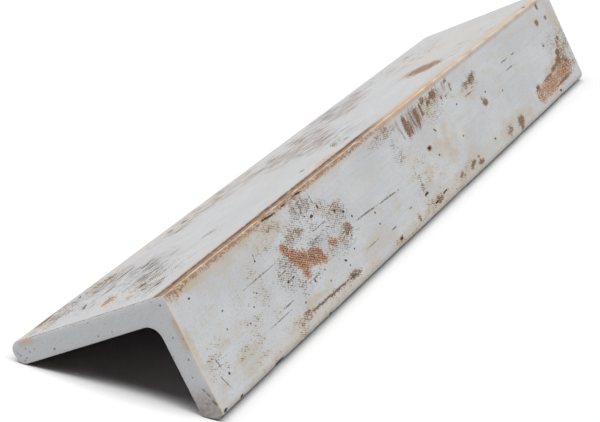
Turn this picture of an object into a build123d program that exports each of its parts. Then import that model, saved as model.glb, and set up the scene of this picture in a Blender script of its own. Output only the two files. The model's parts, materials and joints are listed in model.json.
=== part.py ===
"""An offcut of unequal angle bar, lying heel up on the toes of its two legs.

Lengths are in millimetres. The bar runs along Y and the floor is the plane Z = 0.
The origin is on the floor, under the middle of the bar's outer box. The long leg
falls away towards -X and the short leg towards +X.
"""
from math import asin, atan2, cos, degrees, hypot, radians, sin, tan
import os

from build123d import *

# Driving dimensions of the stock
bar_length = 235.0
long_leg = 50.0
short_leg = 32.0
thickness = 6.0

# Roundings of the section
root_radius = 3.5
heel_radius = 1.0
long_toe_outer_radius = 2.3
long_toe_inner_radius = 2.5
short_toe_outer_radius = 1.8
short_toe_inner_radius = 1.5

# The short leg's end isn't square to the leg. It slants, so the leg is longest on its outer
# face and its end lies almost flat on the floor.
short_toe_slope = radians(22.0)
short_leg_inside = short_leg - thickness * tan(short_toe_slope)

# Edge left by dressing the two sawn ends
end_edge_break = 0.4

# How far down the short leg the centres of its toe's two roundings are
short_toe_outer_centre = short_leg - short_toe_outer_radius * (1 + sin(short_toe_slope)) / cos(
    short_toe_slope
)
short_toe_inner_centre = short_leg - (
    short_toe_inner_radius + (thickness - short_toe_inner_radius) * sin(short_toe_slope)
) / cos(short_toe_slope)

# The bar stands on the inner roundings of its two toes, so the floor is the line that
# touches both circles. The tilt is the slope of the line between their centres, less
# the small angle that their difference in radius makes.
toes_apart = (long_leg - long_toe_inner_radius) - (thickness - short_toe_inner_radius)
toes_aside = short_toe_inner_centre - (thickness - long_toe_inner_radius)
radius_step = long_toe_inner_radius - short_toe_inner_radius
rest_tilt = atan2(toes_aside, toes_apart) - asin(radius_step / hypot(toes_apart, toes_aside))

# Height of the sharp heel corner above the floor, by way of the long leg's toe
heel_height = (
    (long_leg - long_toe_inner_radius) * sin(rest_tilt)
    + (thickness - long_toe_inner_radius) * cos(rest_tilt)
    + long_toe_inner_radius
)

# How far the toes reach to each side of the heel corner
long_reach = (
    (long_leg - long_toe_outer_radius) * cos(rest_tilt)
    - long_toe_outer_radius * sin(rest_tilt)
    + long_toe_outer_radius
)
short_reach = (
    short_toe_outer_centre * sin(rest_tilt)
    - short_toe_outer_radius * cos(rest_tilt)
    + short_toe_outer_radius
)
heel_side = (long_reach - short_reach) / 2

# The section is drawn with its sharp heel at the origin, the long leg along the
# plane's X and the short leg along its Y.
section_plane = Plane(
    origin=(heel_side, 0, heel_height),
    x_dir=(-cos(rest_tilt), 0, -sin(rest_tilt)),
    z_dir=(0, -1, 0),
)

with BuildPart() as angle_bar:
    with BuildSketch(section_plane):
        with BuildLine():
            Polyline(
                (0, 0),
                (long_leg, 0),
                (long_leg, thickness),
                (thickness, thickness),
                (thickness, short_leg_inside),
                (0, short_leg),
                close=True,
            )
        make_face()
    extrude(amount=bar_length / 2, both=True)

    # The six roundings run along the bar, and each edge is found by its place in
    # the section.
    def edge_along_bar(along_long_leg, along_short_leg):
        corner = section_plane.from_local_coords((along_long_leg, along_short_leg, 0))
        return angle_bar.edges().filter_by(Axis.Y).sort_by_distance(corner)[0]

    fillet(edge_along_bar(0, 0), radius=heel_radius)
    fillet(edge_along_bar(thickness, thickness), radius=root_radius)
    fillet(edge_along_bar(long_leg, 0), radius=long_toe_outer_radius)
    fillet(edge_along_bar(long_leg, thickness), radius=long_toe_inner_radius)
    fillet(edge_along_bar(0, short_leg), radius=short_toe_outer_radius)
    fillet(edge_along_bar(thickness, short_leg_inside), radius=short_toe_inner_radius)

    end_faces = angle_bar.faces().sort_by(Axis.Y)
    chamfer(end_faces[0].edges() + end_faces[-1].edges(), length=end_edge_break)

angle_bar.part.label = "angle_bar"

os.makedirs("parts", exist_ok=True)
export_step(angle_bar.part, "parts/angle_bar.step")

print("rest tilt in degrees:", round(degrees(rest_tilt), 2))
print("bar box:", angle_bar.part.bounding_box())
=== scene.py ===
# %% [markdown]
# # A weathered offcut of angle bar
# The object is one straight piece of unequal angle, sawn off square at both ends, lying heel
# up on the toes of its two legs. The solid model already has the true section, so this lesson
# adds what a solid can't hold: worn edges, chips, the stained metal, and a place to see it.

# %% Load the solid model as a fixed frame
import json
from math import cos, exp, pi, radians, sin, tan

import bmesh
import bpy
import numpy
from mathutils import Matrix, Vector, noise


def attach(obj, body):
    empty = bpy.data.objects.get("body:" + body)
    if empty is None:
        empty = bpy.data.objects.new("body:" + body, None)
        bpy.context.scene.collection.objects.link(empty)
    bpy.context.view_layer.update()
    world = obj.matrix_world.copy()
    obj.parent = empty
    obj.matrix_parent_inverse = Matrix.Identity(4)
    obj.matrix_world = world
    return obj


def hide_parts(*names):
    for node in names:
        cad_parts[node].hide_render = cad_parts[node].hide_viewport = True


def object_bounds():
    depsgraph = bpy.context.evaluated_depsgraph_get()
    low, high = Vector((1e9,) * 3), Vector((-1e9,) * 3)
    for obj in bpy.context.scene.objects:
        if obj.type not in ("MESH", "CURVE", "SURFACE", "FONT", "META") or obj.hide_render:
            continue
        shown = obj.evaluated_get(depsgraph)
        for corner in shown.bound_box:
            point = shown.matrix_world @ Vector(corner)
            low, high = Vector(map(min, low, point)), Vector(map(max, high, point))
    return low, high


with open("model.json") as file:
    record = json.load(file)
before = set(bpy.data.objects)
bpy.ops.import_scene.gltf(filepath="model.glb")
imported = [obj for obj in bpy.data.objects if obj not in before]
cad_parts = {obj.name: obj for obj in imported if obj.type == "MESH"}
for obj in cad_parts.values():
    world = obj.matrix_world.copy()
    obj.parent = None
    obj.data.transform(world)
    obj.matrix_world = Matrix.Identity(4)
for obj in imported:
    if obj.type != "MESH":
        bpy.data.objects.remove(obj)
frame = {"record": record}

cad_low, cad_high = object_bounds()

# %% [markdown]
# ## The bar's own directions
# Everything on the bar is easiest to place along its two legs. The outer faces are mounts in
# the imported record, so their normals give the legs' directions, and the line where the two
# faces would meet is the sharp heel. Taking them from there keeps the skin on the solid.

# %% Find the heel and the legs
MM = 0.001
mounts = {mount["name"]: mount for mount in frame["record"]["mounts"]}


def mount_place(name):
    return Vector(mounts[name]["pos_m"])


long_way = -Vector(mounts["short_leg_outer_face"]["axis"]).normalized()
short_way = -Vector(mounts["long_leg_outer_face"]["axis"]).normalized()
bar_way = Vector((0, 1, 0))
bar_length = cad_high.y - cad_low.y
thickness = (mount_place("long_leg_inner_face") - mount_place("long_leg_outer_face")).dot(short_way)

outer_reach = (mount_place("long_leg_outer_face") - mount_place("short_leg_outer_face")).dot(long_way)
heel = mount_place("long_leg_outer_face") - long_way * outer_reach
near_heel = Vector((heel.x, cad_low.y, heel.z))
print("near heel corner:", near_heel, "wall:", round(thickness / MM, 3), "mm")

# %% [markdown]
# ## The section
# A rolled angle has a generous fillet in its root, rounded toes and a nearly sharp heel. The end
# of this bar's short leg also slants, so that it lies almost flat on the floor. The outline
# starts as six corner points and one face, and a vertex bevel rounds each corner. The straight
# runs are then cut into short steps, because wear and chips need points to move. The steps are
# finer on the two outer faces, which also carry the stains.

# %% Draw the section and round its corners
long_leg = 50 * MM
short_leg = 32 * MM
short_toe_slope = radians(22)
short_leg_inside = short_leg - thickness * tan(short_toe_slope)
root_radius = 3.5 * MM
heel_radius = 1 * MM
long_toe_radii = (2.3 * MM, 2.5 * MM)
short_toe_radii = (1.8 * MM, 1.5 * MM)
outer_step = 0.7 * MM
inner_step = 2 * MM
outer_face_depth = 0.1

section_corners = (
    (0, 0, heel_radius, 5),
    (long_leg, 0, long_toe_radii[0], 7),
    (long_leg, thickness, long_toe_radii[1], 7),
    (thickness, thickness, root_radius, 8),
    (thickness, short_leg_inside, short_toe_radii[1], 5),
    (0, short_leg, short_toe_radii[0], 7),
)


def bar_point(down_long_leg, down_short_leg):
    return near_heel + long_way * down_long_leg + short_way * down_short_leg


def legs_of(point):
    """Millimetres from the near end, down the long leg and down the short leg."""
    apart = (point - near_heel) / MM
    return apart.y, apart.dot(long_way), apart.dot(short_way)


bar = bmesh.new()
corner_points = [bar.verts.new(bar_point(u, v)) for u, v, radius, steps in section_corners]
bar.faces.new(corner_points)
for number, (point, (u, v, radius, steps)) in enumerate(zip(corner_points, section_corners)):
    to_last = bar_point(*section_corners[number - 1][:2]) - point.co
    to_next = bar_point(*section_corners[(number + 1) % len(section_corners)][:2]) - point.co
    half_turn = to_last.angle(to_next) / 2
    round_profile = (1 - 0.5 / (1 + sin(half_turn))) ** 2
    bmesh.ops.bevel(bar, geom=[point], offset=radius / tan(half_turn), offset_type="OFFSET",
                    segments=steps, profile=round_profile, affect="VERTICES", material=-1)
for edge in list(bar.edges):
    along, u, v = legs_of((edge.verts[0].co + edge.verts[1].co) / 2)
    step = outer_step if min(u, v) < outer_face_depth else inner_step
    cuts = round(edge.calc_length() / step) - 1
    if cuts > 0:
        bmesh.ops.subdivide_edges(bar, edges=[edge], cuts=cuts)
print("points round the section:", len(bar.verts))

# %% [markdown]
# ## From section to bar
# The real bar is the same section pushed or rolled out along one line, so extruding the face is
# the honest way to make it. The rims of the two sawn ends get a small bevel where they were
# dressed, and the long runs are cut across so that wear can vary along the bar.

# %% Extrude the bar, break the end edges and cut it across
end_edge_break = 0.4 * MM
length_step = 0.75 * MM
end_facing = 0.99


def sawn_ends():
    """The faces that look along the bar."""
    return [face for face in bar.faces if abs(face.normal.y) > end_facing]


pushed = bmesh.ops.extrude_face_region(bar, geom=list(bar.faces))
far_points = [part for part in pushed["geom"] if isinstance(part, bmesh.types.BMVert)]
bmesh.ops.translate(bar, verts=far_points, vec=bar_way * bar_length)
bmesh.ops.recalc_face_normals(bar, faces=list(bar.faces))

rim_edges = [edge for face in sawn_ends() for edge in face.edges]
bmesh.ops.bevel(bar, geom=rim_edges, offset=end_edge_break, offset_type="OFFSET", segments=2,
                profile=0.5, affect="EDGES", material=-1)
long_runs = [edge for edge in bar.edges if edge.calc_length() > bar_length / 2]
bmesh.ops.subdivide_edges(bar, edges=long_runs, cuts=round(bar_length / length_step),
                          use_grid_fill=True)
print("bar so far:", len(bar.faces), "faces")

# %% [markdown]
# ## The sawn ends
# Each end is still one many-sided face. Cutting it along both legs gives it a small grid, so
# that its shading stays flat up to the rim and its unevenness has points to move.

# %% Cut the end faces into a grid
end_step = 1.5 * MM
same_point = 0.001 * MM


def cut_ends(direction, distance):
    """Cuts both end faces by a plane across this direction, this far from the heel."""
    ends = sawn_ends()
    edges = {edge for face in ends for edge in face.edges}
    points = {point for face in ends for point in face.verts}
    bmesh.ops.bisect_plane(bar, geom=ends + list(edges) + list(points), dist=same_point,
                           plane_co=near_heel + direction * distance, plane_no=direction)


for direction, leg in ((long_way, long_leg), (short_way, short_leg)):
    for cut in range(1, round(leg / end_step)):
        cut_ends(direction, cut * end_step)
print("with its ends cut:", len(bar.faces), "faces")

# %% [markdown]
# ## Wear and chips
# The heel and the two toes of the real bar are rubbed uneven and have lost a few small chips.
# Each point moves inwards only, so the skin never leaves the solid's box. A smooth noise along
# the bar sets how much metal each edge has lost. An edge is told by its place on the two legs,
# the way that wear eats into it and a depth; a chip by its place along the bar, half its length
# and its depth. All are in millimetres.

# %% Wear the long edges
worn_edges = {
    "heel": (0.0, 0.0, 1.0, 1.0, 0.2),
    "long toe": (long_leg / MM, 0.0, -1.0, 1.0, 0.22),
    "short toe": (0.0, short_leg / MM - 1.0, 1.0, -1.0, 0.12),
}
chips = {
    "heel": ((45.0, 1.6, 0.18), (58.5, 2.2, 0.20), (98.0, 2.0, 0.16), (143.0, 2.6, 0.15)),
    "long toe": ((4.0, 2.2, 0.45), (13.0, 1.8, 0.30), (34.0, 3.0, 0.35), (84.0, 2.5, 0.30),
                 (160.0, 3.5, 0.30)),
    "short toe": ((27.0, 3.2, 0.25), (94.5, 2.0, 0.18), (134.5, 3.0, 0.18), (182.5, 2.2, 0.25),
                  (216.0, 1.4, 0.3)),
}
wear_reach = 1.9
slow_wear_length = 9.0
quick_wear_length = 2.6
usual_wear = 0.45
slow_wear = 0.7
quick_wear = 0.45
wear_fall = 1.2


def wear_of(name, along):
    """Depth in millimetres that an edge has lost at this place along the bar."""
    u, v, u_way, v_way, depth = worn_edges[name]
    slow = noise.noise(Vector((along / slow_wear_length, u, v)))
    quick = noise.noise(Vector((along / quick_wear_length, v, u)))
    lost = depth * max(0.0, usual_wear + slow_wear * slow + quick_wear * quick)
    for place, half_length, chip_depth in chips[name]:
        lost += chip_depth * exp(-((along - place) / half_length) ** 4)
    return lost


moved = 0
for point in bar.verts:
    along, u, v = legs_of(point.co)
    for name, (edge_u, edge_v, u_way, v_way, depth) in worn_edges.items():
        apart = Vector((u - edge_u, v - edge_v)).length
        if apart < wear_reach:
            share = (1 - apart / wear_reach) ** wear_fall
            inwards = (long_way * u_way + short_way * v_way).normalized()
            point.co += inwards * (wear_of(name, along) * share * MM)
            moved += 1
print("points moved by wear:", moved)

# %% [markdown]
# ## The surface itself
# A drawn or rolled face is never quite flat. A shallow, slow unevenness of a few hundredths of a
# millimetre breaks up the even light on the long faces and the sawn ends, as on the real bar. It
# dies away just above the floor, so that the toes stay down.

# %% Give the faces a shallow unevenness and make the object
uneven_depth = 0.05
ripple_length = 14.0
ripple_width = 5.0
flat_below = 2 * MM
sharp_turn = radians(38)

bar.normal_update()
for point in bar.verts:
    along, u, v = legs_of(point.co)
    ripple = noise.noise(Vector((along / ripple_length, u / ripple_width, v / ripple_width)))
    clear_of_floor = min(1.0, point.co.z / flat_below)
    point.co -= point.normal * ((0.5 + 0.5 * ripple) * uneven_depth * clear_of_floor * MM)

mesh = bpy.data.meshes.new("angle_bar_skin")
bar.to_mesh(mesh)
bar.free()
mesh.shade_smooth()
mesh.set_sharp_from_angle(angle=sharp_turn)
angle_bar_skin = bpy.data.objects.new("angle_bar_skin", mesh)
bpy.context.scene.collection.objects.link(angle_bar_skin)
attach(angle_bar_skin, "root")
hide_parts("angle_bar")
print("skin:", sum(len(face.vertices) - 2 for face in mesh.polygons), "triangles")

# %% [markdown]
# ## Where the stains lie
# Stains are told as a buyer would tell them: so many millimetres from the near end, so many from
# the heel, half a length, half a width, a turn in degrees and a strength. Each mark is a soft
# spot. The finish later breaks each soft spot into a crisp, ragged stain with noise.

# %% Stains on the outer face of the short leg
short_leg_marks = {
    "rust": (
        (3.2, 1.7, 4, 1.2, 0, 0.5), (47, 10.4, 2.8, 2, 45, 1), (49, 13, 3.2, 2.8, 45, 1),
        (51, 18.4, 2.3, 1.8, 45, 0.9), (51.6, 15.2, 4.4, 3.4, 30, 1), (56, 16.2, 3.8, 3, 10, 1),
        (58.6, 16.8, 2.8, 2.8, 30, 1), (60.4, 18.6, 2, 1.4, 20, 0.9),
        (66.6, 16.9, 3.2, 1.5, 20, 0.9), (67, 7.4, 2, 1.2, 10, 0.55), (70.4, 17.8, 1.9, 1, 10, 0.7),
        (73.6, 10.4, 3.4, 1.2, 12, 0.55), (74.8, 16.6, 2.9, 2.3, 0, 0.6),
        (173.4, 27.9, 2.6, 1.9, 0, 0.5), (202.5, 26, 4.6, 3.2, 10, 0.7),
        (211, 25.4, 11, 3.6, 0, 0.74), (222, 24.4, 8, 4, 0, 0.74), (226.6, 17.6, 2.2, 4.5, 15, 0.6),
        (228, 23.6, 3.5, 4, 0, 0.65),
    ),
    "brown": (
        (44.2, 26.6, 3.6, 1.8, 0, 0.6), (57, 27.2, 15, 1, 1, 0.45), (69.2, 27.2, 4.4, 1.6, 4, 0.72),
        (74.8, 16.6, 3, 2.4, 0, 0.7), (95.2, 28.8, 1.4, 0.9, 0, 0.8),
        (108, 27.8, 0.9, 1.9, 0, 0.75), (116.2, 24.2, 1.6, 0.9, 0, 0.8),
        (121.1, 28, 3.2, 1.6, 0, 0.7), (121.2, 5.7, 1.7, 4.4, 0, 1), (123.2, 6.9, 1.1, 3, 0, 0.8),
        (127.5, 14.8, 1.5, 1, 0, 1), (128.5, 5.1, 1.6, 3.6, 0, 0.9), (132, 4.5, 1.1, 3, 0, 0.9),
        (134.5, 2.7, 1.7, 1.4, 0, 0.9), (137.3, 4.3, 1.8, 1, 0, 0.9),
        (137.5, 27.2, 2.6, 1, -15, 0.7), (141, 3.2, 2.7, 1.8, 0, 1), (145, 5.5, 0.9, 1.8, 0, 0.7),
        (146, 27.2, 2.7, 0.9, -15, 1), (150.1, 26.5, 1.3, 0.8, 0, 0.7),
        (150.7, 28.4, 2.8, 1.1, 5, 0.9), (150.8, 2.2, 1.5, 0.9, 0, 0.9),
        (152.1, 4.9, 0.9, 1.9, 0, 0.7), (160.6, 7.2, 2.4, 1.1, 0, 0.7),
        (165.4, 6.8, 4.8, 1.8, -8, 0.75), (166.3, 13.6, 1, 0.8, 0, 0.7),
        (167.3, 15.4, 2.4, 1.5, 0, 0.95), (174.4, 27.2, 3.2, 1.9, 0, 0.6),
        (182.3, 29.3, 1.7, 1.1, 0, 0.9), (183.1, 27.4, 3, 2.3, -10, 0.9),
        (201.9, 23.3, 2, 1.4, -15, 0.9), (202, 24.8, 4.5, 3.2, -20, 0.36),
        (211.2, 23, 4.6, 0.9, -3, 0.9), (217.1, 13.8, 1.2, 1.1, 0, 0.6),
        (217.8, 21.8, 4.2, 1, -6, 0.9), (219.3, 6.6, 1.9, 1.4, -10, 1),
        (220.8, 27.1, 10.5, 0.9, -2, 0.9), (222.7, 20.8, 3.4, 1.4, 0, 1),
        (223.8, 2.3, 1.1, 2, 0, 0.9), (224, 21.5, 6, 3.6, -30, 0.42), (224.2, 18.8, 2, 1.7, 0, 1),
        (226.6, 7, 1.6, 0.9, 0, 0.8), (227, 9.3, 1.2, 0.8, 0, 0.6), (227.6, 17, 2.4, 3.4, 20, 0.42),
        (227.6, 22.5, 3.4, 1.1, 28, 1), (228.2, 14.9, 1.8, 1.2, -20, 0.8),
    ),
    "haze": (
        (1, 14.4, 1.6, 9, 0, 1), (3.2, 1.8, 5.5, 1.8, 0, 1), (3.6, 19.4, 3.5, 5, 20, 0.6),
        (3.7, 3.8, 3, 1.6, 0, 0.7), (4.6, 26.6, 3, 4, 20, 0.5), (11.3, 18.2, 4, 1.2, 0, 0.8),
        (17.5, 17.4, 7, 2.2, 0, 0.5), (17.5, 25, 9, 5, 0, 0.9), (22, 1.6, 32, 2.6, 0, 1),
        (22.7, 2.8, 9, 2.2, 0, 0.7), (39, 27.6, 9, 2.6, 0, 0.9), (43, 4.2, 13, 4, 0, 1),
        (43.1, 14.9, 4, 4, 0, 0.4), (45, 29.4, 46, 1.8, 0, 0.8), (50, 26.4, 12, 4, 0, 0.8),
        (53.4, 9.3, 8, 2.6, 0, 0.5), (57.4, 28.2, 16, 2.6, 0, 0.8), (67.7, 18.5, 7, 1.8, 0, 0.6),
        (69.8, 9.3, 7, 2.4, 15, 0.7), (78.9, 29, 9, 1.8, 0, 0.8), (85, 25.6, 12, 5, 0, 0.6),
        (99.4, 29, 13, 1.9, 0, 1), (106.7, 3.3, 9, 2.6, 0, 0.7), (116.3, 16.4, 4.5, 10, 0, 0.6),
        (120.9, 21, 10, 7, 0, 0.6), (120.9, 27.8, 8, 3, 0, 1), (127.5, 14.8, 2.6, 1.6, 0, 0.8),
        (128, 28.2, 36, 2.8, 0, 0.85), (132.5, 17, 8, 4, 10, 0.9), (133.2, 5.3, 16, 4.6, 0, 0.8),
        (137.2, 27.6, 9, 3, 0, 1), (139.8, 17, 5.5, 10, 25, 0.75), (147.4, 26.4, 8, 4.4, -8, 1),
        (160.8, 9.2, 7, 3, 0, 0.8), (163.8, 26.4, 2.8, 2, 0, 1), (163.9, 7.5, 5.5, 2.2, 0, 0.8),
        (180, 27, 24, 4, 0, 0.8), (212.7, 25, 16, 4.6, 0, 0.9), (218.4, 14.5, 3.4, 4, 0, 0.4),
        (219, 23.5, 17, 6.5, -12, 1), (227, 19.6, 7, 9, 0, 0.8), (231, 12, 4, 16, 0, 0.8),
    ),
    "speckle": (
        (6.3, 20, 6, 7, 20, 0.38), (18.9, 24.2, 9, 5, 0, 0.4), (31, 14.4, 20, 10, 0, 0.25),
        (39, 27.6, 12, 3.6, 0, 0.36), (43, 5, 12, 5, 0, 0.5), (43.5, 15, 7, 6.5, 30, 0.6),
        (45, 29.2, 42, 2, 0, 0.25), (51, 20.6, 8, 3.4, 0, 0.65), (53, 9.3, 10, 4, 0, 0.66),
        (57.5, 28.6, 22, 3.2, 0, 0.3), (59.5, 4.6, 8, 5, 0, 0.7), (64, 13, 18, 7, 0, 0.55),
        (68.5, 8.8, 8, 4, 15, 0.65), (70, 18.4, 11, 4, 0, 0.65), (74.5, 11.4, 6, 4, 15, 0.7),
        (99.5, 29.2, 16, 2.6, 0, 0.38), (107, 3.2, 12, 3.4, 0, 0.65), (112, 9.6, 5, 6.5, 0, 0.55),
        (116, 20.5, 1.7, 6.5, 0, 0.75), (120, 20, 12, 9, 0, 0.25), (122, 28.2, 16, 3.8, 0, 0.36),
        (135.7, 5.4, 20, 6, 0, 0.48), (140, 27.8, 18, 4, 0, 0.36), (163.5, 7.4, 8, 3.2, 0, 0.6),
        (213, 23.6, 19, 6, 0, 0.2), (228, 19.6, 11, 12, 0, 0.6),
    ),
    "drip": (
        (53.4, 9.3, 7, 2.6, 0, 0.5), (59.6, 3.8, 7, 3.8, 0, 0.6), (110.8, 3.7, 4, 2.8, 0, 0.5),
        (117.3, 4.7, 1.4, 3.2, 0, 0.7), (126.1, 5.3, 7, 5, 0, 0.85), (143.5, 3.7, 11, 3, 0, 0.6),
    ),
    "pale": (
        (55, 28.6, 50, 2.6, 0, 0.8), (88, 11, 12, 3, 10, 0.4), (125, 20.4, 1.8, 4.5, 15, 0.9),
        (125, 28.2, 45, 2.6, 0, 0.7), (135.5, 15.5, 2.6, 7, 20, 0.8),
        (141.4, 14.8, 2.4, 6.5, 20, 0.9), (146, 18, 3, 5, 20, 0.7), (212, 25.4, 18, 4, 0, 0.5),
    ),
}
print("marks on the short leg:", sum(len(marks) for marks in short_leg_marks.values()))

# %% [markdown]
# ## Stains of the long leg
# The long leg has fewer stains with a shape of their own. It is streaked along its length instead,
# and scratched, mostly near the sawn end.

# %% Stains on the outer face of the long leg
long_leg_marks = {
    "rust": (
        (10.6, 24.8, 4.6, 2.4, 18, 0.6), (85.8, 4.6, 7, 2.8, 6, 0.4),
    ),
    "brown": (
        (7, 15.8, 2.8, 1.5, 30, 0.5), (10.6, 25.2, 4.8, 2, 18, 0.6), (11.3, 46.9, 6.5, 1.5, 8, 0.8),
        (11.9, 10.2, 1.9, 1, 0, 0.7), (14.8, 17.4, 2.4, 1.1, 10, 0.8),
        (31.1, 43.1, 7, 2.2, 0, 0.55), (101.9, 11.2, 4.8, 1.4, 34, 0.6),
        (171.4, 16.8, 8.4, 8.4, 6, 0.68),
    ),
    "haze": (
        (4.6, 44.6, 7, 5, 0, 0.8), (10.6, 24.8, 7, 4, 10, 0.8), (14.1, 15.8, 10, 8, 0, 0.5),
        (30.2, 4.5, 40, 3, 0, 0.4), (31.1, 42.5, 12, 4.5, 0, 0.7), (75, 45, 55, 5, 0, 0.6),
        (85.3, 5, 10, 4.6, 0, 1), (112.5, 36.2, 50, 14, 0, 0.35), (171.2, 17.4, 10.5, 10.5, 6, 1),
        (200, 22, 34, 22, 0, 0.5), (203, 3.2, 30, 5, 0, 0.6),
    ),
    "speckle": (
        (18.2, 17.9, 16, 14, 0, 0.5), (20.9, 42.5, 24, 8, 0, 0.7),
    ),
    "scratch": (
        (8, 44.5, 9, 3, 5, 0.8), (11, 12, 10, 5, 35, 1), (12, 33, 10, 4, 25, 0.7),
        (22, 20, 13, 6, 30, 1), (32, 29, 9, 8, 45, 1), (32, 41, 11, 5, 0, 1),
        (48, 17, 8, 3, -10, 0.5), (60, 42, 18, 5, 0, 0.5), (102, 10, 7, 4, 20, 0.6),
        (102, 36, 14, 6, 0, 0.5), (171.5, 17.2, 7.5, 8, 6, 0.6),
    ),
    "streak": (
        (30.8, 30.2, 18, 16, 0, 0.6), (66.8, 40.4, 16, 5, 0, 0.7), (87.2, 42.5, 30, 9, 0, 0.8),
        (100.3, 37.8, 9, 3, 0, 0.8), (111.9, 11.6, 12, 5, 0, 0.6), (112.3, 28, 20, 18, 0, 1),
        (128.8, 36.2, 14, 9, 25, 1), (146.1, 34.2, 12, 7, 0, 1), (155.3, 40.3, 20, 9, 0, 1),
        (160.2, 33.6, 8, 2, 10, 0.9), (171.2, 17.2, 9, 9.5, 6, 1), (173.6, 42.3, 14, 5, 0, 0.8),
        (193.1, 9.4, 26, 8, 0, 0.4), (198.8, 36.1, 24, 12, 0, 0.5),
    ),
}
print("marks on the long leg:", sum(len(marks) for marks in long_leg_marks.values()))

# %% [markdown]
# ## From marks to the skin
# The soft spots of one kind are kept on the mesh as an attribute, so that one node can read all
# of them. A mark stops a little way round the heel, where the other face begins.

# %% Keep each kind of stain on the skin's points
places = numpy.empty(len(mesh.vertices) * 3)
mesh.vertices.foreach_get("co", places)
places = (places.reshape(-1, 3) - near_heel) / MM
point_along = places[:, 1]
point_long = places @ numpy.array(long_way)
point_short = places @ numpy.array(short_way)
face_edge = 1.6
flat_middle = 1.25


def soft_spots(marks, across):
    """The strongest soft spot at every point: a mark's strength in its middle, 0 past its rim."""
    strongest = numpy.zeros(len(mesh.vertices))
    for from_end, from_heel, half_length, half_width, turn, strength in marks:
        ahead = point_along - from_end
        aside = across - from_heel
        turned_ahead = ahead * cos(radians(turn)) + aside * sin(radians(turn))
        turned_aside = aside * cos(radians(turn)) - ahead * sin(radians(turn))
        apart = numpy.hypot(turned_ahead / half_length, turned_aside / half_width)
        spot = numpy.clip(flat_middle * (1 - apart ** 2), 0, 1)
        strongest = numpy.maximum(strongest, strength * spot)
    return strongest


for kind in ("rust", "brown", "haze", "speckle", "drip", "pale", "streak", "scratch"):
    on_short_face = soft_spots(short_leg_marks.get(kind, ()), point_short) * (point_long < face_edge)
    on_long_face = soft_spots(long_leg_marks.get(kind, ()), point_long) * (point_short < face_edge)
    values = numpy.maximum(on_short_face, on_long_face)
    mesh.attributes.new(kind, "FLOAT", "POINT").data.foreach_set("value", values)
    print(kind, "reaches", int((values > 0).sum()), "points")

# %% [markdown]
# ## Building a finish from nodes
# The finish is long, so a few helpers keep it readable. Each one adds a node to the tree at hand,
# feeds its sockets with numbers or with other nodes, and hands back the socket that comes out.
# The first ones work on plain numbers.

# %% Helpers for numbers
metal = bpy.data.materials.new("weathered_metal")
metal.use_nodes = True
tree = metal.node_tree
tree.nodes.clear()


def feed(socket, value):
    if isinstance(value, bpy.types.NodeSocket):
        tree.links.new(value, socket)
    else:
        socket.default_value = value


def calc(operation, first, second=0.0, third=0.0):
    made = tree.nodes.new("ShaderNodeMath")
    made.operation = operation
    for socket, value in zip(made.inputs, (first, second, third)):
        feed(socket, value)
    return made.outputs[0]


def times(first, *others):
    for other in others:
        first = calc("MULTIPLY", first, other)
    return first


def either(first, *others):
    for other in others:
        first = calc("MAXIMUM", first, other)
    return first


def ramp(value, low, high, out_low=0.0, out_high=1.0):
    """A smooth step from out_low, where value is low, to out_high, where it is high."""
    made = tree.nodes.new("ShaderNodeMapRange")
    made.interpolation_type = "SMOOTHSTEP"
    for socket, number in zip(made.inputs, (value, low, high, out_low, out_high)):
        feed(socket, number)
    return made.outputs[0]


def band(value, low, high, soft):
    """1 from low to high, fading to 0 over a soft edge outside them."""
    return times(ramp(value, low - soft, low), ramp(value, high + soft, high))


print("empty finish:", metal.name)

# %% [markdown]
# ## Patterns and layers
# The other helpers draw noise, read the kept stains and mix colours. The finish is built up as a
# painter would: one layer over another, each with the share of the metal that it covers, a
# strength and a colour. Colours are written as they are seen, from 0 to 255.

# %% Helpers for patterns and colours
# A Mix node has sockets for every kind of value, and these are the places of its colours.
share_socket, under_socket, over_socket, mixed_socket = 0, 6, 7, 2


def measured(place, step, turn=(0, 0, 0), start=(0, 0, 0)):
    """A place measured from a start, along turned axes, in steps of this size."""
    made = tree.nodes.new("ShaderNodeMapping")
    made.vector_type = "TEXTURE"
    settings = {"Vector": place, "Location": start, "Rotation": turn, "Scale": step}
    for name, value in settings.items():
        feed(made.inputs[name], value)
    return made.outputs[0]


def stretched(place, step, turn=0.0):
    """A place in long and short steps, so that a pattern is drawn out by them."""
    return measured(place, step, (0, 0, radians(turn)))


def noise_at(place, detail, rough, scale=1.0):
    made = tree.nodes.new("ShaderNodeTexNoise")
    settings = {"Vector": place, "Scale": scale, "Detail": detail, "Roughness": rough}
    for name, value in settings.items():
        feed(made.inputs[name], value)
    return made.outputs["Fac"]


def kept(kind):
    """A kind of stain that was kept on the skin's points."""
    made = tree.nodes.new("ShaderNodeAttribute")
    made.attribute_name = kind
    return made.outputs["Fac"]


def paint(red, green, blue):
    """A colour written as it is seen, in the linear values that sockets take."""
    seen = (red / 255, green / 255, blue / 255)
    return tuple(x / 12.92 if x <= 0.04045 else ((x + 0.055) / 1.055) ** 2.4 for x in seen) + (1.0,)


def blend(share, under, over):
    """The colour under, covered by the colour over where share is 1."""
    made = tree.nodes.new("ShaderNodeMix")
    made.data_type = "RGBA"
    feed(made.inputs[share_socket], share)
    feed(made.inputs[under_socket], under)
    feed(made.inputs[over_socket], over)
    return made.outputs[mixed_socket]


def cover(under, layers):
    """The colour under, covered by one layer after another: a share, a strength and a colour each."""
    for share, strength, over in layers:
        under = blend(times(share, strength), under, over)
    return under


print("white in linear values:", paint(255, 255, 255))

# %% [markdown]
# ## Places on the bar
# One Mapping node turns Object coordinates into millimetres down the long leg, from the near end
# and down the short leg. Its texture form subtracts the heel corner, turns the legs onto the
# axes and divides by a millimetre. From these three distances follow the shares that tell the
# faces apart: each is 1 on its own face and fades out within two millimetres under it.

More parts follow.
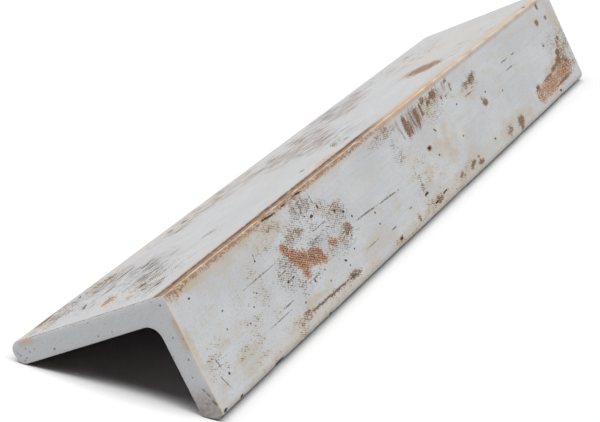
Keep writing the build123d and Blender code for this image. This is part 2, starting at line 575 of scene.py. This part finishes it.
# %% Turn Object coordinates into distances on the bar
object_place = tree.nodes.new("ShaderNodeTexCoord").outputs["Object"]
tilt = pi - Vector((-long_way.x, 0, long_way.z)).angle(Vector((1, 0, 0)))
bar_place = measured(object_place, (MM, MM, MM), (0, tilt, 0), near_heel)
distances = tree.nodes.new("ShaderNodeSeparateXYZ")
feed(distances.inputs[0], bar_place)
down_long, from_end, down_short = distances.outputs


def flat_place(first, second):
    made = tree.nodes.new("ShaderNodeCombineXYZ")
    feed(made.inputs[0], first)
    feed(made.inputs[1], second)
    return made.outputs[0]


short_face = flat_place(from_end, down_short)
long_face = flat_place(from_end, down_long)
end_face = flat_place(down_long, down_short)
past_heel = (2.0, 1.0)
on_short = ramp(down_long, *past_heel)
on_long = ramp(down_short, *past_heel)
from_far_end = calc("SUBTRACT", bar_length / MM, from_end)
to_end = calc("MINIMUM", from_end, from_far_end)
sawn_depth = 0.12
on_end = ramp(to_end, 0.3, sawn_depth)
off_end = ramp(to_end, sawn_depth, 0.45)
print("legs turned by", round(tilt, 4))

# %% [markdown]
# ## Noise of several sizes
# The metal isn't even: slow clouds where it was handled, patches where a thin film of dirt has
# dried, fine lines along the bar from the rolls, and a grain too small to name. Each is a noise,
# and the steps give its size in millimetres down the long leg, along the bar and down the short
# leg.

# %% Clouds, roll lines and grain
clouds = noise_at(stretched(bar_place, (11, 20, 11)), 3.0, 0.55)
patches = noise_at(stretched(bar_place, (3.3, 7, 3.3)), 4.0, 0.62)
roll_lines = noise_at(stretched(bar_place, (0.45, 28, 0.45)), 3.0, 0.6)
grain = noise_at(bar_place, 3.0, 0.6, scale=1.6)
brushed = noise_at(stretched(bar_place, (1.0, 6, 0.4)), 3.0, 0.65)
crumbs = noise_at(stretched(bar_place, (1.1, 1.9, 1.1)), 4.0, 0.66)
fine_crumbs = noise_at(stretched(bar_place, (0.5, 0.95, 0.5)), 2.0, 0.6)
print("nodes so far:", len(tree.nodes))

# %% [markdown]
# ## Bare metal
# The metal itself is a pale, faintly blue grey, warmer where the film of dirt lies. The long leg
# is painted a little darker than the short one, as painted shade on the face that the lamps light
# most. The sawn ends are painted a little lighter, as painted light on the upright ends, and the
# inside is painted shade: dark towards the long toe and lighter by the short leg.

# %% Lay the greys of the metal
inside_wall = (5.0, 5.8)
on_inside = times(ramp(down_long, *inside_wall), ramp(down_short, *inside_wall), off_end)
# Painted shade on the inside: darker towards the long toe and lighter by the short leg, so the floor
# under the bar stays dark.
inside_painted_shade = blend(ramp(down_long, 8.0, 20.0), paint(190, 182, 184), paint(112, 102, 103))
brushed_share = times(ramp(brushed, 0.52, 0.7), ramp(on_long, 0, 1, 0.12, 0.6))
cloudy_grey = blend(ramp(clouds, 0.35, 0.68), paint(223, 225, 228), paint(214, 215, 218))
colour = cover(cloudy_grey, (
    (ramp(patches, 0.44, 0.72), 0.7, paint(216, 212, 201)),
    (ramp(roll_lines, 0.5, 0.8), 0.3, paint(190, 190, 193)),
    (ramp(grain, 0.5, 0.72), 0.3, paint(188, 185, 184)),
    (brushed_share, 1.0, paint(190, 187, 184)),
    (ramp(fine_crumbs, 0.56, 0.76), 0.3, paint(168, 160, 150)),
    # Painted shade: the long leg's face, which the lamps light most, is made a little darker.
    (on_long, 0.52, paint(184, 184, 185)),
    # Painted light: the upright sawn ends, which the lamps light least, are made a little lighter.
    (on_end, 1.0, paint(229, 230, 232)),
    # The inside gets its painted shade.
    (on_inside, 1.0, inside_painted_shade),
))
print("nodes so far:", len(tree.nodes))

# %% [markdown]
# ## Ragged stains
# Each kept field is a soft spot; adding noise before a steep ramp turns it into a ragged stain
# with crumbs round its rim. Where the stain is thin, it shows as a hatch of small dots: two sine
# waves, one along and one across the bar, shaken by noise so that the rows never run quite
# straight.

# %% Ways to break a soft spot
row_bend = 12.0
dot_pitch_along = 1.15
dot_pitch_across = 0.66
dot_unevenness = 3.2
centred_crumbs = calc("SUBTRACT", crumbs, 0.5)
centred_fine = calc("SUBTRACT", fine_crumbs, 0.5)
centred_patches = calc("SUBTRACT", patches, 0.5)


def rows(distance, pitch, shake):
    """A sine wave of this pitch in millimetres along a distance, its rows bent by a noise."""
    return calc("SINE", calc("MULTIPLY_ADD", shake, row_bend, times(distance, 2 * pi / pitch)))


across = calc("ADD", down_long, down_short)
bend = noise_at(bar_place, 2.0, 0.6, scale=0.8)
hatch = times(rows(from_end, dot_pitch_along, bend), rows(across, dot_pitch_across, bend))
hatch = calc("MULTIPLY_ADD", centred_fine, dot_unevenness, hatch)


def rough_field(kind, coarse, fine, slow, hatched):
    """A kept field shaken by noise of three sizes and by the hatch."""
    rough = kept(kind)
    shakes = ((centred_crumbs, coarse), (centred_fine, fine), (centred_patches, slow), (hatch, hatched))
    for shake, amount in shakes:
        rough = calc("MULTIPLY_ADD", shake, amount, rough)
    return rough


def broken(kind, low, high, coarse, fine=0.0, slow=0.0, hatched=0.0, full=0.15):
    """A kept field turned into a ragged stain, and empty where the field is empty."""
    rough = rough_field(kind, coarse, fine, slow, hatched)
    return times(ramp(rough, low, high), ramp(kept(kind), 0.02, full), off_end)


def drawn_out(kind, lines, low, high, push):
    """Drawn-out lines that show where a kept field is, and more of them in its middle."""
    pushed = calc("MULTIPLY_ADD", kept(kind), push, lines)
    return times(ramp(pushed, low, high), ramp(kept(kind), 0.02, 0.3), off_end)


print("nodes so far:", len(tree.nodes))

# %% [markdown]
# ## Kinds of stain
# Haze is beige and wide, and pale smears are lighter than the metal. Rust has an orange body with
# dark dots, brown is darker, and speckle is the hatch alone. Drips are noise drawn out across the
# short leg; streaks and scratches are drawn out along the long one.

# %% Break the soft spots into stains
haze = times(broken("haze", 0.1, 1.5, coarse=1.3, fine=0.9, slow=1.9), 0.85)
pale = broken("pale", 0.1, 1.2, coarse=0.6, fine=0.3, slow=1.2)
rust = broken("rust", 0.34, 0.58, coarse=1.3, fine=1.5, hatched=0.26)
rust_dots = times(rust, ramp(hatch, 0.0, 0.35), ramp(kept("rust"), 0.6, 0.95, 0.25, 1))
brown = broken("brown", 0.34, 0.64, coarse=1.3, fine=1.0, hatched=0.22)
speckle = broken("speckle", 0.78, 0.94, coarse=1.3, slow=1.9, hatched=0.5, full=0.2)

drip_lines = noise_at(stretched(short_face, (0.5, 5, 1)), 3.0, 0.65)
streak_lines = noise_at(stretched(long_face, (7, 0.9, 1), -12), 4.0, 0.64)
scratch_lines = noise_at(stretched(long_face, (5.0, 0.42, 1), -8), 2.0, 0.6)
drip = drawn_out("drip", drip_lines, 0.64, 0.8, push=0.3)
streak = times(drawn_out("streak", streak_lines, 0.6, 0.74, push=0.16), on_long)
scratch = drawn_out("scratch", scratch_lines, 0.66, 0.77, push=0.16)
print("nodes so far:", len(tree.nodes))

# %% [markdown]
# ## Stains over the metal
# Pale smears and haze lie lowest. Streaks, then rust with its dark dots, and the other stains come
# over them, and the scratches are last.

# %% Lay the stains over the metal
rust_body = blend(ramp(crumbs, 0.35, 0.65), paint(196, 139, 99), paint(228, 183, 145))
brown_body = blend(ramp(fine_crumbs, 0.4, 0.6), paint(116, 85, 65), paint(176, 136, 104))
colour = cover(colour, (
    (pale, 0.7, paint(233, 231, 228)),
    (haze, 1.0, paint(218, 204, 181)),
    (streak, 0.86, paint(140, 122, 116)),
    (rust, 0.9, rust_body),
    (rust_dots, 0.85, paint(84, 52, 36)),
    (brown, 0.9, brown_body),
    (speckle, 0.78, paint(114, 87, 67)),
    (drip, 0.62, paint(150, 111, 83)),
    (scratch, 0.9, paint(84, 68, 60)),
))
print("nodes so far:", len(tree.nodes))

# %% [markdown]
# ## The heel
# The heel carries the strongest marks. A thin cream line lies on its crest, with orange touches
# beside it: worn metal, and partly a painted highlight on the rounded heel. A dark brown band lies
# beside it on the long leg. Past the middle of the bar the band gives way to a narrower, paler tan
# one. On the short leg, brown crumbs fringe the crest. A noise along the bar lets all of them wander.

# %% Find the lines along the heel
heel_wander = noise_at(stretched(bar_place, (1000, 6, 1000)), 3.0, 0.6)
centred_wander = calc("SUBTRACT", heel_wander, 0.5)
heel_long = calc("MULTIPLY_ADD", centred_wander, 1.2, down_long)
heel_short = calc("MULTIPLY_ADD", centred_wander, 0.6, down_short)
before_middle = ramp(from_end, 120.0, 98.0)
past_middle = ramp(from_end, 92.0, 118.0)
before_far = ramp(from_end, 165.0, 135.0)
band_place = times(on_long, before_middle, off_end)

heel_band = times(band(heel_long, 0.7, 3.0, 0.9), band_place, ramp(crumbs, 0.34, 0.54, 0.35, 1))
heel_shade = times(band(heel_long, 0.75, 2.4, 0.4), band_place, ramp(patches, 0.4, 0.56, 0.2, 1))
heel_halo = times(ramp(heel_long, 5.6, 3.6), on_long, off_end)
# The crest's cream line and the orange touches beside it are worn metal with a painted highlight.
heel_crest_wear_and_highlight = times(ramp(down_long, 0.62, 0.42), ramp(down_short, 0.5, 0.3), off_end)
heel_glow_wear_and_highlight = times(band(heel_long, 0.2, 1.0, 0.4), on_long, ramp(patches, 0.46, 0.62), off_end)
far_place = times(ramp(heel_long, 2.7, 1.5), ramp(heel_short, 1.5, 0.7), past_middle, off_end)
far_band = times(far_place, ramp(crumbs, 0.3, 0.55, 0.5, 1))

fringe_fall = times(ramp(heel_short, 3.4, 0.4), on_short, before_middle, off_end)
fringe_crumbs = calc("MULTIPLY_ADD", centred_crumbs, 1.2, times(centred_fine, 1.8))
fringe_rough = calc("ADD", fringe_fall, fringe_crumbs)
heel_fringe = times(ramp(fringe_rough, 0.66, 1.0), ramp(fringe_fall, 0.02, 0.2))
print("nodes so far:", len(tree.nodes))

# %% [markdown]
# ## Rims and toes
# The rims of the sawn ends are stained too, tan on the short leg and brown on the long one. The
# short leg's toe is painted dark where it rounds down to the floor, as painted shade, with a tan
# fringe above it, and the long leg's toe is a little darker than its face.

# %% Find the rims and the toes
rim = times(ramp(to_end, 0.1, 0.2), ramp(to_end, 0.65, 0.35), ramp(crumbs, 0.36, 0.6, 0.3, 1))
toe_tan = times(ramp(down_short, 28.6, 30.4), on_short, ramp(crumbs, 0.35, 0.6), off_end)
# Painted shade: the short toe's rounding, where it turns down to the floor, is painted dark.
toe_painted_shade = times(ramp(down_short, 30.4, 30.65), on_short, ramp(crumbs, 0.3, 0.5, 0.6, 1))
toe_place = times(ramp(down_long, 47.6, 49.0), ramp(down_short, 4.0, 2.5))
toe_rim = times(toe_place, ramp(crumbs, 0.35, 0.6), off_end)
print("nodes so far:", len(tree.nodes))

# %% [markdown]
# ## Edges over the stains
# The edges are laid over the stains in the order in which they hide each other: first the wide,
# soft ones, then the bands, and the crest, the rims and the toes at the end.

# %% Lay the edges over the stains
far_tan = blend(before_far, paint(211, 199, 187), paint(208, 176, 146))
crest_cream_and_highlight = blend(ramp(patches, 0.4, 0.6), paint(238, 220, 198), paint(228, 190, 154))
rim_stain = blend(on_long, paint(236, 212, 182), paint(140, 112, 92))
colour = cover(colour, (
    (heel_halo, 0.45, paint(206, 186, 162)),
    (far_band, 0.75, far_tan),
    (heel_band, 0.94, paint(118, 88, 69)),
    (heel_shade, 0.9, paint(68, 51, 43)),
    # Orange worn metal with a painted highlight beside the crest.
    (heel_glow_wear_and_highlight, 0.4, paint(196, 146, 108)),
    (fringe_fall, 0.45, paint(218, 194, 168)),
    (heel_fringe, 0.6, paint(142, 106, 80)),
    # Cream worn metal with a painted highlight on the crest.
    (heel_crest_wear_and_highlight, 0.85, crest_cream_and_highlight),
    (rim, 0.95, rim_stain),
    (toe_tan, 0.4, paint(212, 190, 166)),
    # Painted shade along the short toe's down-turned rounding.
    (toe_painted_shade, 0.9, paint(46, 36, 34)),
    (toe_rim, 0.6, paint(138, 118, 106)),
))
print("nodes so far:", len(tree.nodes))

# %% [markdown]
# ## Pits and fine lines
# Some marks are too small for the skin's points: pits of half a millimetre, and hair lines from
# handling. Each is one Mapping and one spherical gradient, joined by taking the strongest. A mark
# is told by its distances from the near end and from the heel, its half length and half width,
# and a turn in degrees.

# %% Ways to draw small marks


def small_marks(place, marks):
    """The strongest of a row of small oval marks."""
    strongest = 0.0
    for along, across, half_length, half_width, turn in marks:
        size = (half_length, half_width, 1)
        spot = measured(place, size, (0, 0, radians(turn)), (along, across, 0))
        fall = tree.nodes.new("ShaderNodeTexGradient")
        fall.gradient_type = "SPHERICAL"
        feed(fall.inputs[0], spot)
        strongest = calc("MAXIMUM", fall.outputs["Fac"], strongest)
    return strongest


def dashed(place, marks, uneven, low, high):
    """Small marks worn into dashes by the fine crumbs."""
    fresh = small_marks(place, marks)
    worn = calc("MULTIPLY_ADD", centred_fine, uneven, fresh)
    return times(ramp(worn, low, high), ramp(fresh, 0.04, 0.15))


print("nodes so far:", len(tree.nodes))

# %% [markdown]
# ## Small marks of the short leg
# Most pits lie in the near third. Most hair lines run along the bar, and a few run across it beside
# the heel and near the sawn end.

# %% Pits and hair lines of the short leg
short_leg_pits = (
    (1.6, 29.9, 1.1, 0.7, 0), (7.3, 4.4, 0.6, 0.4, 15), (8.2, 24, 0.6, 0.5, 0),
    (8.9, 30.2, 1, 0.5, 0), (14.4, 15.8, 0.4, 0.35, 0), (15.8, 11.7, 0.5, 0.4, 0),
    (22.9, 18.5, 0.4, 0.4, 0), (26.7, 16, 0.45, 0.4, 0), (26.9, 30.4, 3.3, 0.5, 0),
    (29.8, 13.8, 0.4, 0.35, 0), (34.5, 7.5, 0.45, 0.45, 0), (42.8, 17, 0.75, 0.5, 0),
    (45.2, 16.9, 0.5, 0.4, 0), (45.4, 23.9, 0.4, 0.35, 0), (46.8, 1.2, 4.4, 0.42, 4),
    (52.7, 21.3, 0.6, 0.5, 0), (53, 30.5, 0.9, 0.5, 0), (54, 1.2, 1.6, 0.25, 0),
    (58.3, 20.9, 0.4, 0.35, 0), (58.6, 24.1, 0.4, 0.35, 0), (60.2, 6.9, 0.45, 0.4, 0),
    (61.6, 1.1, 3.2, 0.4, 5), (62.9, 8, 1.1, 0.65, 0), (66.9, 7, 0.6, 0.45, 0),
    (68, 22.8, 0.9, 0.45, 20), (68.9, 24.5, 0.45, 0.4, 0), (73, 10.7, 0.9, 0.5, 0),
    (73.7, 22, 0.55, 0.4, 0), (76.3, 12.5, 0.8, 0.6, 0), (78.9, 14.9, 0.6, 0.5, 0),
    (89.1, 21.6, 0.5, 0.45, 0), (89.2, 18.4, 0.55, 0.45, 0), (95.5, 28.8, 1.1, 0.6, 0),
    (116.2, 24.2, 1.4, 0.5, 0), (119.3, 28.1, 1.7, 0.45, 0), (125.5, 27.4, 2.6, 0.4, -3),
    (127.5, 14.8, 1.2, 0.75, 0), (130.9, 18.2, 0.6, 0.4, 0), (134.3, 11.8, 1.3, 0.4, 48),
    (147.5, 18.7, 0.6, 0.4, 0), (151.5, 10.1, 0.7, 0.45, 0), (163.8, 26, 0.7, 0.45, 0),
    (170, 12.9, 0.6, 0.45, 0), (180.2, 16.2, 0.6, 0.4, 0), (215.7, 29.1, 1.1, 0.6, 0),
    (217.1, 13.8, 0.6, 0.5, 0),
)
short_leg_lines = (
    (5.8, 25, 4, 0.25, 66), (6.3, 20.5, 2.4, 0.4, 76), (33.9, 11.2, 12.5, 0.2, 0),
    (33.9, 22.8, 8, 0.22, 0), (34.8, 6.3, 1.2, 0.25, 100), (38.8, 21.4, 3.8, 0.32, -1),
    (43.2, 14.4, 2.4, 0.25, 0), (43.7, 13, 2.2, 0.28, 0), (44.8, 16.9, 2.6, 0.3, -8),
    (52.9, 20.7, 6, 0.22, 0), (57.5, 4.3, 2.6, 0.3, 90), (59.8, 4.5, 2.8, 0.3, 90),
    (60.6, 13.2, 4.5, 0.25, 0), (63.7, 11.2, 6.5, 0.25, 0), (65.7, 4.3, 2.8, 0.3, 88),
    (82, 24.4, 5, 0.2, 0), (86, 16.9, 9.5, 0.4, 3.2), (94.3, 25.2, 2.8, 0.36, 0),
    (98, 17.6, 9.5, 0.4, 3.2), (105.8, 24.1, 1.8, 0.3, 0), (117.9, 6.8, 2.8, 0.35, 80),
    (126, 6.3, 4.2, 0.45, 80), (160.3, 10, 3.8, 0.34, 0), (188.3, 9.2, 3.4, 0.42, 0),
    (190.4, 12.1, 4.4, 0.38, 0), (195.7, 9.3, 2, 0.42, 0),
)
brown_lines = (
    (49.2, 26.8, 5, 0.45, 0), (57.4, 27, 13.5, 0.5, 1), (68.2, 27.3, 3.4, 0.55, 4),
)
on_short_alone = times(on_short, off_end)
pits = times(dashed(short_face, short_leg_pits, 0.8, 0.2, 0.5), on_short_alone)
hair_lines = times(dashed(short_face, short_leg_lines, 1.6, 0.2, 0.7), on_short_alone)
thin_brown = times(dashed(short_face, brown_lines, 1.2, 0.15, 0.5), on_short_alone)
print("pits:", len(short_leg_pits), "lines:", len(short_leg_lines) + len(brown_lines))

# %% [markdown]
# ## Small marks of the long leg
# The long leg has short, dark dashes, most of them near the sawn end.

# %% Dashes of the long leg
long_leg_lines = (
    (10.8, 14.2, 1.6, 0.9, 0), (11.9, 10.2, 1.8, 0.9, 0), (12, 34.1, 4.2, 0.7, 30),
    (14.7, 17.4, 2.6, 0.8, 0), (15, 10.9, 1.5, 0.6, 0), (18.8, 17.6, 1.6, 0.6, 0),
    (20.6, 32.7, 4.5, 0.7, 0), (22.3, 15.8, 1.4, 0.7, 0), (23.3, 38.9, 1.2, 0.7, 0),
    (23.6, 45.1, 1.8, 0.8, 30), (24.5, 22, 7, 0.6, -16), (30.7, 25.7, 3.2, 0.6, 0),
    (32, 36.4, 7.5, 0.7, 0), (33.3, 28.1, 3.2, 0.8, 0), (33.5, 30.4, 3.2, 0.8, 0),
    (45.8, 17.8, 4, 0.6, -8), (63.8, 44, 2.2, 0.7, 0), (69.9, 43, 2.4, 0.9, 0),
    (81.8, 10.1, 1.5, 0.9, 0), (102.4, 37.7, 4.2, 0.7, -6), (104.7, 8.5, 1.9, 0.8, 0),
    (217.2, 1.1, 1.6, 0.9, 0),
)
long_lines = times(dashed(long_face, long_leg_lines, 1.3, 0.15, 0.6), on_long, off_end)
print("dashes:", len(long_leg_lines))

# %% [markdown]
# ## Small marks of the sawn end
# The near end has pits and nicks, here told by their distances down the long and the short leg.
# Both ends have slanting saw lines and fine specks. Tan haze lies on two lengths of the near end's
# outer edges, and its short leg darkens towards the toe.

# %% Pits and saw lines of the sawn end
end_pits = (
    (0.7, 27, 1, 0.35, 110), (1.3, 25, 0.9, 0.25, 110), (1.9, 23.7, 0.8, 0.25, 110),
    (2.1, 2.1, 0.45, 0.35, 20), (3, 10, 0.5, 0.2, 60), (3.2, 20.1, 0.4, 0.2, 60),
    (5.4, 14.3, 0.2, 0.3, 0), (18.5, 4.6, 0.2, 0.3, 0), (22.9, 4.6, 0.4, 0.2, 0),
    (24, 0.9, 0.2, 0.2, 0), (37.2, 4.4, 0.6, 0.35, 30), (43, 3, 0.3, 0.25, 0),
    (44.8, 3.3, 0.3, 0.3, 0), (45.6, 2.2, 0.4, 0.2, 40), (46.6, 4.5, 0.35, 0.3, 0),
    (47.4, 5, 0.3, 0.3, 0), (48, 3.5, 0.35, 0.3, 0), (48.5, 2.8, 0.3, 0.3, 0),
)
near_end = times(on_end, ramp(from_end, 20.0, 10.0))
end_marks = times(dashed(end_face, end_pits, 0.6, 0.08, 0.4), near_end)
end_specks = times(ramp(noise_at(bar_place, 2.0, 0.5, scale=0.8), 0.69, 0.76), on_end)
either_specks = either(end_specks, end_marks)
saw_lines = noise_at(stretched(end_face, (3.5, 0.3, 1), 24), 3.0, 0.6)
saw_share = times(ramp(saw_lines, 0.46, 0.66), on_end)
end_crumbs = times(ramp(fine_crumbs, 0.58, 0.74), on_end)
haze_lengths = either(band(down_short, 7.0, 13.0, 2.5), band(down_long, 43.0, 46.0, 2.0))
haze_edges = either(ramp(down_long, 2.2, 0.5), ramp(down_short, 2.2, 0.5))
end_haze = times(haze_lengths, haze_edges, near_end)
end_toe = times(ramp(down_short, 21.0, 28.0), ramp(crumbs, 0.35, 0.6, 0.5, 1), near_end)
print("pits of the sawn end:", len(end_pits))

# %% [markdown]
# ## Small marks over everything
# The small marks are the last layers of the colour. On the ends the saw lines lie under the haze
# and the pits, as the saw came first.

# %% Lay the small marks over the rest
colour = cover(colour, (
    (long_lines, 0.85, paint(100, 88, 85)),
    (hair_lines, 0.8, paint(108, 94, 86)),
    (thin_brown, 0.75, paint(108, 82, 66)),
    (pits, 0.9, paint(50, 40, 36)),
    (saw_share, 0.28, paint(204, 204, 206)),
    (end_crumbs, 0.5, paint(168, 164, 162)),
    (end_haze, 0.6, paint(214, 186, 158)),
    (end_toe, 0.85, paint(172, 159, 151)),
    (either_specks, 0.62, paint(84, 76, 74)),
))
print("nodes so far:", len(tree.nodes))

# %% [markdown]
# ## The shader
# Weathered bare metal is mostly chalk and partly mirror: it reflects softly, and its stains don't
# reflect at all. So the metal value falls and the roughness rises under every stain. A shallow
# bump sinks the pits and specks and lifts the rust.

# %% Join it all in one shader
bare_metallic = 0.3
bare_roughness = 0.47
cloud_roughness = 0.16
stain_roughness = 0.25
specular_level = 0.25
bump_strength = 0.6
bump_depth = 0.12 * MM

stain = either(times(haze, 0.6), rust, brown, speckle, drip, heel_band, times(far_band, 0.7),
               heel_fringe, pits, thin_brown, long_lines, scratch, times(streak, 0.5))
cloudy_roughness = calc("MULTIPLY_ADD", clouds, cloud_roughness, bare_roughness)
height = 0.0
for field, lift in ((grain, 0.22), (pits, -1.0), (roll_lines, 0.2),
                    (times(rust, fine_crumbs), 0.6), (either_specks, -0.7)):
    height = calc("MULTIPLY_ADD", field, lift, height)
bump = tree.nodes.new("ShaderNodeBump")
feed(bump.inputs["Strength"], bump_strength)
feed(bump.inputs["Distance"], bump_depth)
feed(bump.inputs["Height"], height)

shader = tree.nodes.new("ShaderNodeBsdfPrincipled")
feed(shader.inputs["Base Color"], colour)
feed(shader.inputs["Specular IOR Level"], specular_level)
feed(shader.inputs["Metallic"], calc("MULTIPLY_ADD", stain, -bare_metallic, bare_metallic))
feed(shader.inputs["Roughness"], calc("MULTIPLY_ADD", stain, stain_roughness, cloudy_roughness))
feed(shader.inputs["Normal"], bump.outputs[0])
finish = tree.nodes.new("ShaderNodeOutputMaterial")
feed(finish.inputs["Surface"], shader.outputs[0])
mesh.materials.append(metal)
print("finish:", len(tree.nodes), "nodes")

# %% [markdown]
# ## What is seen and what gives light
# The bar lies on a white floor. To the camera, and in reflections, the floor is bright enough to
# read as white, and it still holds the bar's shadow. For the light that bounces it is a plain
# pale floor, so it lights the bar no more than real card would. Light Path tells the two apart.
# The floor and the sky both need it, so it is a node group.

# %% Tell what is seen from what gives light
tree = bpy.data.node_groups.new("seen_directly", "ShaderNodeTree")
tree.interface.new_socket("Seen", in_out="OUTPUT", socket_type="NodeSocketFloat")
path = tree.nodes.new("ShaderNodeLightPath").outputs
mirrored = either(path["Is Glossy Ray"], path["Is Transmission Ray"])
no_bounce_yet = calc("LESS_THAN", path["Diffuse Depth"], 0.5)
group_out = tree.nodes.new("NodeGroupOutput")
feed(group_out.inputs["Seen"], either(path["Is Camera Ray"], times(mirrored, no_bounce_yet)))
seen_group = tree


def plain_shader(kind, settings):
    made = tree.nodes.new(kind)
    for name, value in settings.items():
        feed(made.inputs[name], value)
    return made.outputs[0]


def seen_or_lighting(seen, lighting):
    """One shader for what is seen, straight or mirrored, and another for the light that it gives."""
    seen_directly = tree.nodes.new("ShaderNodeGroup")
    seen_directly.node_tree = seen_group
    mixed = tree.nodes.new("ShaderNodeMixShader")
    for socket, value in zip(mixed.inputs, (seen_directly.outputs["Seen"], lighting, seen)):
        feed(socket, value)
    return mixed.outputs[0]


print("group:", len(seen_group.nodes), "nodes")

# %% [markdown]
# ## Floor
# The floor is one square sheet, large enough to fill the picture and small enough not to show as
# a grey line in low views.

# %% Lay the floor
floor_size = 2.4
seen_white = 1.08
card_grey = 0.45

floor_mesh = bpy.data.meshes.new("floor")
sheet = bmesh.new()
bmesh.ops.create_grid(sheet, x_segments=1, y_segments=1, size=floor_size / 2)
sheet.to_mesh(floor_mesh)
sheet.free()
floor = bpy.data.objects.new("floor", floor_mesh)
bpy.context.scene.collection.objects.link(floor)

card = bpy.data.materials.new("white_floor")
card.use_nodes = True
tree = card.node_tree
tree.nodes.clear()
seen_card = plain_shader("ShaderNodeBsdfDiffuse", {"Color": (seen_white, seen_white, seen_white, 1)})
lighting_card = plain_shader("ShaderNodeBsdfDiffuse", {"Color": (card_grey, card_grey, card_grey, 1)})
card_out = tree.nodes.new("ShaderNodeOutputMaterial")
feed(card_out.inputs["Surface"], seen_or_lighting(seen_card, lighting_card))
floor_mesh.materials.append(card)
print("floor:", floor_size, "m wide")

# %% [markdown]
# ## Sky
# The sky is white to look at and gives almost no light, so that the shadows stay deep.

# %% Hang the sky
white = (1, 1, 1, 1)
seen_strength = 1.0
lighting_strength = 0.03

world = bpy.data.worlds.new("studio")
world.use_nodes = True
bpy.context.scene.world = world
tree = world.node_tree
tree.nodes.clear()
seen_sky = plain_shader("ShaderNodeBackground", {"Color": white, "Strength": seen_strength})
lighting_sky = plain_shader("ShaderNodeBackground", {"Color": white, "Strength": lighting_strength})
sky_out = tree.nodes.new("ShaderNodeOutputWorld")
feed(sky_out.inputs["Surface"], seen_or_lighting(seen_sky, lighting_sky))
print("sky gives", lighting_strength, "of the light that it shows")

# %% [markdown]
# ## Lamps
# Two wide lamps hang high above the bar and a little in front of it, a strip and a broad one. So
# the shadow is soft, and the bar has no hard highlights.

# %% Hang the lamps
lamp_height = 4.0


def soft_lamp(name, place, size, watts):
    """A wide soft lamp at this place and of this size in x and y, shining straight down."""
    light = bpy.data.lights.new(name, "AREA")
    light.shape = "RECTANGLE"
    light.size, light.size_y = size
    light.energy = watts
    lamp = bpy.data.objects.new(name, light)
    lamp.location = (*place, lamp_height)
    bpy.context.scene.collection.objects.link(lamp)
    print(name, "at", place, "gives", watts, "W")


soft_lamp("strip", place=(0.27, -0.59), size=(6.7, 0.53), watts=46.0)
soft_lamp("broad", place=(0.0, -0.3), size=(10.0, 2.0), watts=222.0)

# %% [markdown]
# ## Camera
# The camera stands in front of the near end, a little to the right, and looks down the bar with a
# longish lens, so that the far end is only slightly smaller than the near one.

# %% Set the camera
camera_place = Vector((199.04, -402.48, 212.18)) * MM
azimuth = radians(27.898)
elevation = radians(25.739)
focal_pixels = 1757.2
image_width = 600
sensor_width = 36.0

lens = bpy.data.cameras.new("camera")
lens.sensor_width = sensor_width
lens.lens = focal_pixels / image_width * sensor_width
lens.clip_start = 10 * MM
camera = bpy.data.objects.new("camera", lens)
back = Vector((sin(azimuth) * cos(elevation), -cos(azimuth) * cos(elevation), sin(elevation)))
camera.rotation_euler = (-back).to_track_quat("-Z", "Y").to_euler()
camera.location = camera_place
bpy.context.scene.collection.objects.link(camera)
bpy.context.scene.camera = camera
bpy.context.scene.view_settings.view_transform = "Standard"
print("lens:", round(lens.lens, 2), "mm")
